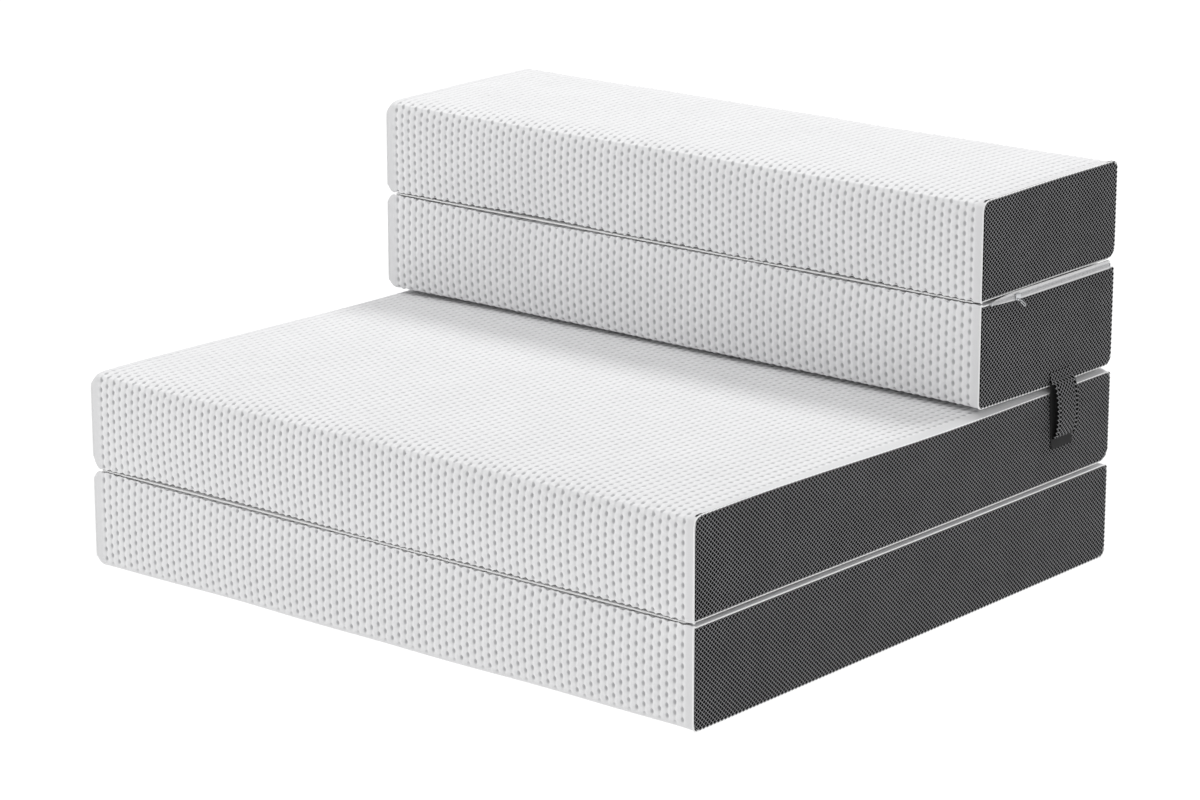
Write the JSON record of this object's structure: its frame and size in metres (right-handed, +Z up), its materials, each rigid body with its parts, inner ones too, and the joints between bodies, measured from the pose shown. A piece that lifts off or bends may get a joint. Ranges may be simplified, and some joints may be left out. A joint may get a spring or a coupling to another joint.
{
  "type": "futon mattress",
  "caption": "Foam guest mattress folded in a zigzag into a low armless sofa, with a dimpled knit cover, spacer mesh ends, a zip and a carry handle.",
  "frame": {"origin": "on the floor, in the middle of the whole object's outline, which the carry handle makes a little wider on the right", "axes": "+X along the width to the right end with the zip and handle, +Y from the seat's front to the back, +Z up"},
  "size_m": [0.8116, 0.71, 0.4295],
  "materials": {
    "support_foam": "matte",
    "comfort_foam": "matte",
    "jacquard_knit": "matte",
    "spacer_mesh": "matte",
    "edge_welt": "matte",
    "fold_strip": "matte",
    "zip_tape": "matte",
    "zip_coil": "satin",
    "zip_metal": "satin",
    "handle_mesh": "matte",
    "handle_lining": "matte"
  },
  "bodies": {
    "base": {"base_foam_core": "support_foam", "base_comfort_foam": "comfort_foam", "base_cover": "jacquard_knit", "base_mesh_end_right": "spacer_mesh", "base_mesh_end_left": "spacer_mesh", "base_welt_right": "edge_welt", "base_welt_left": "edge_welt", "front_fold_lower_leaf": "fold_strip"},
    "seat": {"seat_foam_core": "support_foam", "seat_comfort_foam": "comfort_foam", "seat_cover": "jacquard_knit", "seat_mesh_end_right": "spacer_mesh", "seat_mesh_end_left": "spacer_mesh", "seat_welt_right": "edge_welt", "seat_welt_left": "edge_welt", "front_fold_upper_leaf": "fold_strip", "rear_fold_lower_leaf": "fold_strip"},
    "back_lower": {"back_lower_foam_core": "support_foam", "back_lower_comfort_foam": "comfort_foam", "back_lower_cover": "jacquard_knit", "back_lower_mesh_end_right": "spacer_mesh", "back_lower_mesh_end_left": "spacer_mesh", "back_lower_welt_right": "edge_welt", "back_lower_welt_left": "edge_welt", "rear_fold_upper_leaf": "fold_strip", "top_fold_lower_leaf": "fold_strip", "zip_tape": "zip_tape", "zip_coil": "zip_coil", "zip_stops": "zip_metal", "handle_anchor": "handle_mesh"},
    "back_upper": {"back_upper_foam_core": "support_foam", "back_upper_comfort_foam": "comfort_foam", "back_upper_cover": "jacquard_knit", "back_upper_mesh_end_right": "spacer_mesh", "back_upper_mesh_end_left": "spacer_mesh", "back_upper_welt_right": "edge_welt", "back_upper_welt_left": "edge_welt", "top_fold_upper_leaf": "fold_strip"},
    "slider": {"zip_slider": "zip_metal"},
    "pull": {"zip_pull": "zip_metal"},
    "handle": {"handle_loop": "handle_mesh", "handle_lining": "handle_lining"}
  },
  "joints": [
    {"name": "front_fold", "type": "hinge", "parent": "base", "child": "seat", "pos_m": [0, -0.354, 0.10675], "axis": [1, 0, 0], "range_deg": [0, 180]},
    {"name": "rear_fold", "type": "hinge", "parent": "seat", "child": "back_lower", "pos_m": [0, 0.354, 0.21475], "axis": [-1, 0, 0], "range_deg": [0, 180]},
    {"name": "top_fold", "type": "hinge", "parent": "back_lower", "child": "back_upper", "pos_m": [0, 0.105, 0.32275], "axis": [1, 0, 0], "range_deg": [0, 180]},
    {"name": "zip_slide", "type": "slide", "parent": "back_lower", "child": "slider", "axis": [0, 1, 0], "range_m": [-0.039, 0.165]},
    {"name": "pull_swing", "type": "hinge", "parent": "slider", "child": "pull", "pos_m": [0.40055, 0.1665, 0.3175], "axis": [0, -1, 0], "range_deg": [-10, 170]},
    {"name": "handle_swing", "type": "hinge", "parent": "back_lower", "child": "handle", "pos_m": [0.39595, 0.2535, 0.218], "axis": [0, -1, 0], "range_deg": [0, 110]}
  ]
}
